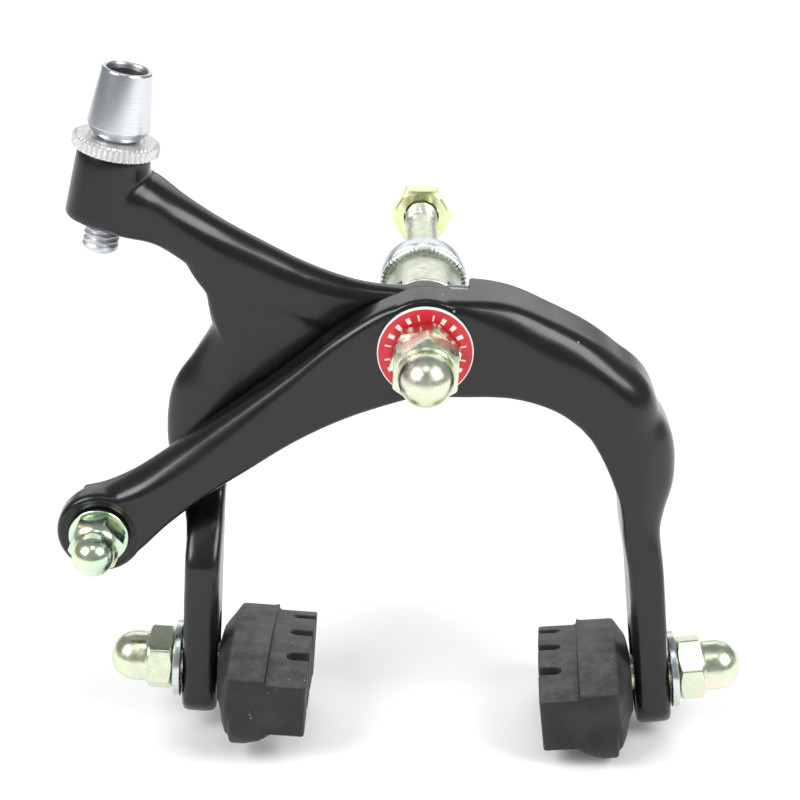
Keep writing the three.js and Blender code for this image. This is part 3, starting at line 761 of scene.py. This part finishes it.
black_paint = paint_material()
yellow_zinc = plated_material(
    "yellow_zinc", [(0.74, 0.75, 0.50), (0.68, 0.75, 0.57), (0.78, 0.71, 0.58)], 0.27, 0.14)
lime_zinc = plated_material(
    "lime_zinc", [(0.70, 0.74, 0.30), (0.72, 0.78, 0.44), (0.80, 0.76, 0.48)], 0.2, 0.10)
green_zinc = plated_material(
    "green_zinc", [(0.56, 0.72, 0.54), (0.62, 0.76, 0.60), (0.76, 0.78, 0.50)], 0.22, 0.10)
clear_zinc = plated_material(
    "clear_zinc", [(0.58, 0.65, 0.67), (0.65, 0.69, 0.68), (0.69, 0.71, 0.61)], 0.24, 0.15)
spring_wire = plated_material(
    "spring_wire", [(0.36, 0.38, 0.40), (0.44, 0.45, 0.46), (0.40, 0.42, 0.40)], 0.34, 0.2)
satin_zinc = plated_material(
    "satin_zinc", [(0.70, 0.72, 0.54), (0.66, 0.70, 0.56), (0.72, 0.70, 0.58)], 0.34, 0.12)
turned_alloy = turned_material("turned_alloy", 0.22, 0.16)
blasted_alloy = cast_metal_material("blasted_alloy")
pad_rubber = rubber_material()
red_enamel = disc_material()
nylon = nylon_material()


def finish(obj, body, node, look):
    """Gives a piece its look and its body, and hides the CAD node it stands for."""
    obj.data.materials.clear()
    obj.data.materials.append(look)
    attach(obj, body)
    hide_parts(node)
    return obj


# ---- centre stack ----
def thread(radius, pitch, depth, z0, z1):
    """A wave for lathe that cuts a helical thread between two heights."""
    def wave(index, angle, r, z):
        if r < radius - 0.02 or z < z0 or z > z1:
            return r, z
        phase = (z / pitch - angle / math.tau) % 1.0
        fade = min(1.0, (z - z0) / pitch, (z1 - z) / (0.4 * pitch) + 0.2)
        return r - depth * abs(2 * phase - 1) * fade, z
    return wave


def levels(z0, z1, step):
    count = int(round((z1 - z0) / step))
    return [z0 + (z1 - z0) * i / count for i in range(count + 1)]


def pivot_bolt():
    tip = DOME_HEX[0] - 2.2
    profile = [(0, tip), (2.5, tip), (BOLT_R, tip + 0.5), (BOLT_R, 24.8)]
    profile += [(BOLT_R, z) for z in levels(25.0, BOLT_END - 0.5, THREAD_STEP)]
    profile += [(2.45, BOLT_END), (1.2, BOLT_END), (0.9, BOLT_END - 0.25), (0, BOLT_END - 0.3)]
    rear_thread = thread(BOLT_R, 1.0, 0.5, 25.0, BOLT_END)
    bolt = lathe("pivot_bolt_threaded", profile, ALONG_Y, 72, wave=rear_thread, angle=50)
    finish(bolt, "base", "pivot_bolt", satin_zinc)


def spring_block():
    y0, y1 = BLOCK
    seam = (BORE_R, -12)
    loop = [seam, (BORE_R, y0), (6.1, y0), (6.6, y0 + 0.5), (6.6, y1 - 0.7), (5.9, y1), (BORE_R, y1), seam]
    body = lathe("spring_anchor_block", rounded(loop, 0.25, 3)[:-1], ALONG_Y, 128, closed=True)
    combine(body, box(-8, 8, -5.45, -3.15, y0 - 1, y0 + 2.5, ALONG_Y))
    settle(body, ALONG_Y)
    shade(body, 28)
    finish(body, "base", "spring_block", satin_zinc)


def toothed_washer():
    """A lock washer with radial teeth on its front face."""
    y0, y1 = SERRATED
    loop = [(BORE_R, y0 + 0.75), (BORE_R, y0 + 0.3), (4.6, y0 + 0.3), (4.8, y0), (7.2, y0), (7.5, y0 + 0.25),
            (7.5, y1 - 0.15), (7.35, y1), (BORE_R, y1)]

    def wave(index, angle, r, z):
        if index in (3, 4, 5):
            return r, z + 0.05 * abs(2 * ((angle * 60 / math.tau) % 1.0) - 1)
        return r, z

    body = lathe("toothed_lock_washer", loop, ALONG_Y, 240, closed=True, wave=wave, angle=20)
    finish(body, "base", "serrated_washer", clear_zinc)


def seat_washer():
    y0, y1 = SEAT
    seam = (BORE_R, -2)
    loop = [seam, (BORE_R, y0), (6.9, y0), (7.5, y0 + 0.5), (7.5, y1 - 0.4), (7.1, y1), (BORE_R, y1), seam]
    body = lathe("fork_seat_washer", rounded(loop, 0.2, 3)[:-1], ALONG_Y, 128, closed=True)
    finish(body, "base", "seat_washer", clear_zinc)


def mounting_nut():
    y0, y1 = NUT
    body = hexagon("self_locking_nut", M6_FLATS, y0, y1 - 1.4, Matrix(), 0)
    crown = [(0, y1 - 1.6), (4.85, y1 - 1.6), (4.85, y1 - 0.7), (4.6, y1 - 0.15), (4.2, y1), (0, y1)]
    combine(body, lathe("crown", rounded(crown, 0.3, 4), None, 96), "UNION")
    combine(body, cylinder(BORE_R, 20, 60))
    combine(body, cylinder(3.75, y1 - 2.2, y1 - 0.4))
    body.matrix_world = ALONG_Y
    shade(body, 25)
    finish(body, "base", "mounting_nut", lime_zinc)
    insert = washer("nylon_insert_ring", 3.62, 3.15, y1 - 2.05, y1 - 0.55, ALONG_Y, 0.1)
    finish(insert, "base", "nut_insert", nylon)


def small_washers():
    rear = washer("rear_bearing_washer", 6.4, BORE_R, *REAR_WASHER, ALONG_Y)
    finish(rear, "base", "rear_washer", clear_zinc)
    middle = washer("middle_bearing_washer", 7.0, BORE_R, *MIDDLE_WASHER, ALONG_Y)
    finish(middle, "base", "middle_washer", clear_zinc)
    face = washer("red_face_disc", 7.6, BORE_R, *FACE_WASHER, ALONG_Y, 0.15, 128)
    finish(face, "base", "face_washer", red_enamel)


def front_nuts():
    jam = hexagon("thin_jam_nut", M6_FLATS, *JAM_NUT, Matrix(), -12, 0.6)
    combine(jam, cylinder(BORE_R, -60, 0))
    jam.matrix_world = ALONG_Y
    shade(jam, 25)
    finish(jam, "base", "jam_nut", yellow_zinc)
    dome = dome_nut("centre_dome_nut", M6_FLATS, DOME_HEX[1], 4.5, 6.4, BORE_R, ALONG_Y, -28)
    finish(dome, "base", "front_dome_nut", yellow_zinc)


def bent_wire(name, path, radius, sign):
    """A round wire along points that share one y. sign is 1 for a path to +x and -1 for one to -x."""
    count = 20
    verts, faces = [], []
    across = Vector((0, 1, 0))
    last = len(path) - 1
    for i, p in enumerate(path):
        ahead = (path[min(i + 1, last)] - path[max(i - 1, 0)]).normalized() * sign
        other = ahead.cross(across)
        tip = 0.6 if i == last else 1.0
        for k in range(count):
            a = math.tau * k / count
            verts.append(p + (across * math.cos(a) + other * math.sin(a)) * radius * tip)
    for i in range(last):
        for k in range(count):
            n = (k + 1) % count
            faces.append([i * count + k, i * count + n, (i + 1) * count + n, (i + 1) * count + k])
    faces.append(list(range(count)))
    faces.append(list(range(last * count, len(path) * count)))
    return build(name, verts, faces)


def return_spring():
    """The spring's wire in two legs that meet in the block's slot."""
    y, z = BLOCK[0] + 1.2, 4.3
    right = [
        (0, z), (5, z), (9.5, z - 0.6), (15, z - 3.2), (21.5, -5.0), (27.5, -11.5), (31.0, -17.0),
        (32.0, -21.0), (32.3, -24.0),
    ]
    for side, sign, body in (("left", -1, "rear_lever"), ("right", 1, "front_lever")):
        path = [Vector((sign * x, y, h)) for x, h in smooth_stations(right, 8)]
        leg = bent_wire(f"{side}_spring_leg", path, 0.95, sign)
        leg.data.materials.clear()
        leg.data.materials.append(spring_wire)
        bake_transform(leg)
        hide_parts("return_spring")


# ---- cable anchor ----
def anchor():
    f, b = FRONT_HUB
    head = [(0, b + 0.3), (4.1, b + 0.3), (4.1, b + 4.6), (3.7, b + 5.0), (0, b + 5.0)]
    bolt = lathe("cable_anchor_bolt", rounded(head, 0.2, 3), None, 96)
    combine(bolt, cylinder(ANCHOR_BOLT_R, f - 6.0, b + 1), "UNION")
    combine(bolt, cylinder(1.1, -20, 20, shift(0, 0, b + 2.6) @ turn("X", 90), 40))
    bolt.matrix_world = ON_ANCHOR
    shade(bolt, 28)
    finish(bolt, "front_lever", "anchor_bolt", green_zinc)
    ring = washer("anchor_clamp_washer", 4.9, ANCHOR_BORE_R, f - 0.9, f - 0.1, ON_ANCHOR, 0.2)
    finish(ring, "front_lever", "anchor_washer", green_zinc)
    nut = dome_nut("anchor_dome_cap", M5_FLATS, f - 1.2, 3.6, 5.6, ANCHOR_BORE_R, ON_ANCHOR, -8)
    finish(nut, "front_lever", "anchor_dome_nut", green_zinc)


# ---- adjuster ----
def lock_ring():
    loop = [(3.2, 1.0), (3.2, 0.0), (6.2, 0.0), (6.6, 0.25), (6.9, 0.3), (6.9, 1.1), (6.9, 1.9), (6.6, 1.95),
            (6.2, 2.2), (4.4, 2.2), (4.2, 2.05), (3.2, 2.05)]

    def wave(index, angle, r, z):
        if r > 6.5:
            tooth = abs(2 * ((angle * 46 / math.tau) % 1.0) - 1)
            return r - 0.42 * tooth ** 1.3, z
        return r, z

    ring = lathe("knurled_lock_ring", loop, ON_ADJUSTER, 368, closed=True, wave=wave, angle=26)
    finish(ring, "lock_ring", "adjuster_lock_ring", blasted_alloy)


def barrel():
    foot, bottom = 2.5, -16.6
    top = foot + 10.8
    cup = [
        (STEM_R, foot), (3.9, foot), (3.9, foot + 0.7), (4.5, foot + 0.8), (5.05, foot + 1.7),
        (3.95, foot + 10.5), (3.75, top), (3.3, top), (2.9, foot + 9.9), (2.6, foot + 4.0), (1.1, foot + 4.0),
    ]
    outside = [(1.1, bottom), (2.4, bottom), (STEM_R, bottom + 0.6)]
    outside += [(STEM_R, z) for z in levels(bottom + 0.7, -0.4, THREAD_STEP)]
    outside += [(STEM_R, 0), (STEM_R, foot - 0.1)]
    outside += rounded(cup, 0.22, 3)
    stem = thread(STEM_R, 1.0, 0.5, bottom + 0.6, -0.4)
    body = lathe("tapered_barrel", outside, ON_ADJUSTER, 96, closed=True, wave=stem, angle=50)
    finish(body, "barrel", "barrel_adjuster", turned_alloy)


# ---- shoes ----
def pad_section(s, near):
    """The pad's outline across its length at s, as (through, up) points with y measured from the stud origin.
    near is the sign of the end that faces the rider, where more is cut off the back."""
    start, slope = (5.2, 15.0) if s * near > 0 else (6.5, 5.0)
    y0 = PAD_BACK + max(0.0, abs(s) - start) * math.tan(math.radians(slope))
    parting = PAD_BACK + PAD_PARTING
    face = PAD_BACK + PAD_DEPTH
    end = max(0.0, (abs(s) - (PAD_LENGTH / 2 - 0.9)) / 0.9)
    inset = 0.9 * (1 - math.sqrt(max(0.0, 1 - end * end))) if end > 0 else 0.0
    slim = 0.5 * inset
    back, front = 6.4 - inset, 5.6 - slim

    def half(start, angle):
        crown = PAD_BACK + (back - start) * math.tan(math.radians(angle)) + inset
        return [(y0 + inset, start - inset), (max(crown, y0 + inset + 0.2), back), (parting - 0.3, back),
                (parting - 0.22, back + 0.25), (parting, back + 0.25), (parting + 0.08, front + 0.15),
                (parting + 0.3, front), (face - slim, front)]

    upper = rounded(half(3.6, 41), 0.55, 3)
    lower = rounded(half(3.8, 30), 0.55, 3)
    return upper + [(y, -z) for y, z in lower[::-1]]


def bent(s, y, z):
    a = s / PAD_ARC
    return (math.sin(a) * (PAD_ARC + z), y, math.cos(a) * (PAD_ARC + z) - PAD_ARC)


def pad(side, shoe):
    half = PAD_LENGTH / 2
    marks = [half * (k / 30) for k in range(-28, 29)]
    ends = [half - 0.9 * (1 - math.sin(math.radians(a))) for a in (20, 40, 60, 75, 90)]
    stations = [-e for e in ends[::-1]] + marks + ends
    verts, faces = [], []
    for s in sorted(stations):
        verts += [bent(s, y, z) for y, z in pad_section(s, -shoe["side"])]
    count = len(pad_section(0, 1))
    total = len(stations)
    for i in range(total - 1):
        for k in range(count):
            n = (k + 1) % count
            faces.append([i * count + k, i * count + n, (i + 1) * count + n, (i + 1) * count + k])
    faces.append(list(range(count))[::-1])
    faces.append(list(range((total - 1) * count, total * count)))
    body = build(f"{side}_brake_pad", verts, faces)
    for along in PAD_GROOVES:
        swing = math.degrees(-shoe["side"] * along / PAD_ARC)
        at = shift(0, 0, -PAD_ARC) @ turn("Y", swing) @ shift(0, 0, PAD_ARC)
        root = PAD_BACK + PAD_DEPTH - 2.8
        turns = [math.pi + math.pi * k / 16 for k in range(17)]
        outline = [(GROOVE_R * math.cos(a), root + GROOVE_R * math.sin(a)) for a in turns]
        outline += [(GROOVE_R, root + 4.5), (-GROOVE_R, root + 4.5)]
        combine(body, prism(outline, -20, 20, at))
    parting = PAD_BACK + PAD_PARTING
    lobe = [
        (0, PAD_BACK + 3.0), (5.2, PAD_BACK + 3.0), (5.6, PAD_BACK + 3.4), (5.6, parting - 3.4),
        (5.0, parting - 0.8), (3.6, parting + 1.4), (0, parting + 1.4),
    ]
    tab = lathe("tab", rounded(lobe, 0.5, 3), shift(-shoe["side"] * half * 0.58, 0, PAD_TAB_Z) @ ALONG_Y, 96)
    body = merge(f"{side}_brake_pad", [body, tab])
    fuse(body, PAD_VOXEL, 3)
    s = shoe["side"]
    yawed = shift(0, PAD_BACK, 0) @ turn("Z", shoe["yaw"]) @ shift(0, -PAD_BACK, 0)
    posed = yawed @ shift(PAD_SHIFT * s, 0, shoe["raise"]) @ turn("Y", shoe["tilt"] * s)
    body.data.transform(posed)
    pocket = box(-9.3, 9.3, -3.9, 3.9, PAD_BACK + 3.1, PAD_BACK + 5.5, ALONG_Y)
    combine(body, pocket)
    combine(body, box(-20, 20, -20, 20, -5, PAD_BACK, ALONG_Y))
    combine(body, cylinder(BORE_R, 0, PAD_BACK + 4.6, ALONG_Y, 48))
    body.matrix_world = shoe_place(shoe)
    shade(body, 40)
    finish(body, f"{side}_shoe", f"{side}_pad", pad_rubber)


def side_hardware(side, shoe, spin):
    place = shoe_place(shoe) @ ALONG_Y
    ring = washer(f"{side}_slot_washer", 6.5, BORE_R, -SIDE_WASHER[1], -SIDE_WASHER[0], place, 0.2)
    finish(ring, f"{side}_clamp", f"{side}_side_washer", clear_zinc)
    nut = dome_nut(f"{side}_stud_dome_nut", M6_FLATS, -SIDE_NUT_FOOT, 4.2, 6.5, BORE_R, place, -spin)
    finish(nut, f"{side}_clamp", f"{side}_dome_nut", yellow_zinc)
    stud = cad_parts[f"{side}_pad_stud"]
    stud.data.materials.clear()
    stud.data.materials.append(yellow_zinc)


# ---- stage ----
def floor(z):
    half = 4.0 / MM
    corners = [(-half, -half, 0), (half, -half, 0), (half, half, 0), (-half, half, 0)]
    plane = build("floor", corners, [[0, 1, 2, 3]])
    plane.location.z = z
    made, tree, shader, add = material("paper")
    where = add("ShaderNodeTexCoord").outputs["Object"]
    tone = ramp(add, noise(add, where, 30.0), [(0.3, (0.86, 0.86, 0.86)), (0.7, (0.88, 0.88, 0.88))])
    tree.links.new(tone, shader.inputs["Base Color"])
    shader.inputs["Roughness"].default_value = 0.9
    shader.inputs["Specular IOR Level"].default_value = 0.0
    shader.inputs["Emission Color"].default_value = (1, 1, 1, 1)
    shader.inputs["Emission Strength"].default_value = 0.06
    plane.data.materials.append(made)


def soft_box(name, place, target, size, radiance):
    """An area light of a given brightness, whatever its size."""
    data = bpy.data.lights.new(name, "AREA")
    data.shape = "RECTANGLE"
    data.size, data.size_y = size
    data.energy = radiance * math.pi * size[0] * size[1]
    lamp = bpy.data.objects.new(name, data)
    bpy.context.scene.collection.objects.link(lamp)
    lamp.location = place
    lamp.rotation_mode = "QUATERNION"
    lamp.rotation_quaternion = (Vector(target) - Vector(place)).to_track_quat("-Z", "Y")
    return lamp


def studio():
    soft_box("left_box", (-0.75, -0.55, 0.75), (0, 0, -0.02), (0.6, 0.6), 9.0)
    soft_box("right_box", (0.75, -0.45, 0.70), (0, 0, -0.02), (0.6, 0.6), 8.0)
    soft_box("top_box", (0.0, -0.35, 1.0), (0, 0, -0.02), (0.3, 0.3), 3.0)
    soft_box("back_panel", (0.0, 1.3, 0.55), (0, 0, 0), (1.8, 0.7), 1.1)
    wash = soft_box("floor_wash", (0.0, 1.6, 1.3), (0.0, 1.1, -0.07), (2.6, 1.6), 1.6)
    wash.visible_glossy = False
    world = bpy.data.worlds.new("studio")
    world.use_nodes = True
    world.node_tree.nodes["Background"].inputs["Color"].default_value = (0.9, 0.95, 1.0, 1)
    world.node_tree.nodes["Background"].inputs["Strength"].default_value = 0.32
    bpy.context.scene.world = world
    bpy.context.scene.view_settings.view_transform = "Standard"


def camera():
    """A camera at the photograph's viewing angle, as estimated."""
    down, yaw, roll = math.radians(24.556), math.radians(-0.398), math.radians(1.014)
    level = Vector((-math.sin(yaw), math.cos(yaw), 0))
    right = Vector((math.cos(yaw), math.sin(yaw), 0))
    ahead = level * math.cos(down) - Vector((0, 0, 1)) * math.sin(down)
    up = level * math.sin(down) + Vector((0, 0, 1)) * math.cos(down)
    right, up = right * math.cos(roll) + up * math.sin(roll), up * math.cos(roll) - right * math.sin(roll)
    data = bpy.data.cameras.new("camera")
    data.lens = 86.41
    data.sensor_width = 36.0
    data.clip_start = 0.01
    lens = bpy.data.objects.new("camera", data)
    bpy.context.scene.collection.objects.link(lens)
    place = Matrix((right, up, -ahead)).transposed().to_4x4()
    place.translation = Vector((-5.76, -310.2, 118.4)) * MM
    lens.matrix_world = place
    bpy.context.scene.camera = lens


camera()
studio()
floor(cad_low.z - 0.0005)
front_arm()
rear_arm()
pivot_bolt()
spring_block()
toothed_washer()
seat_washer()
mounting_nut()
small_washers()
front_nuts()
return_spring()
anchor()
lock_ring()
barrel()
pad("left", LEFT_SHOE)
pad("right", RIGHT_SHOE)
side_hardware("left", LEFT_SHOE, 41)
side_hardware("right", RIGHT_SHOE, 37)
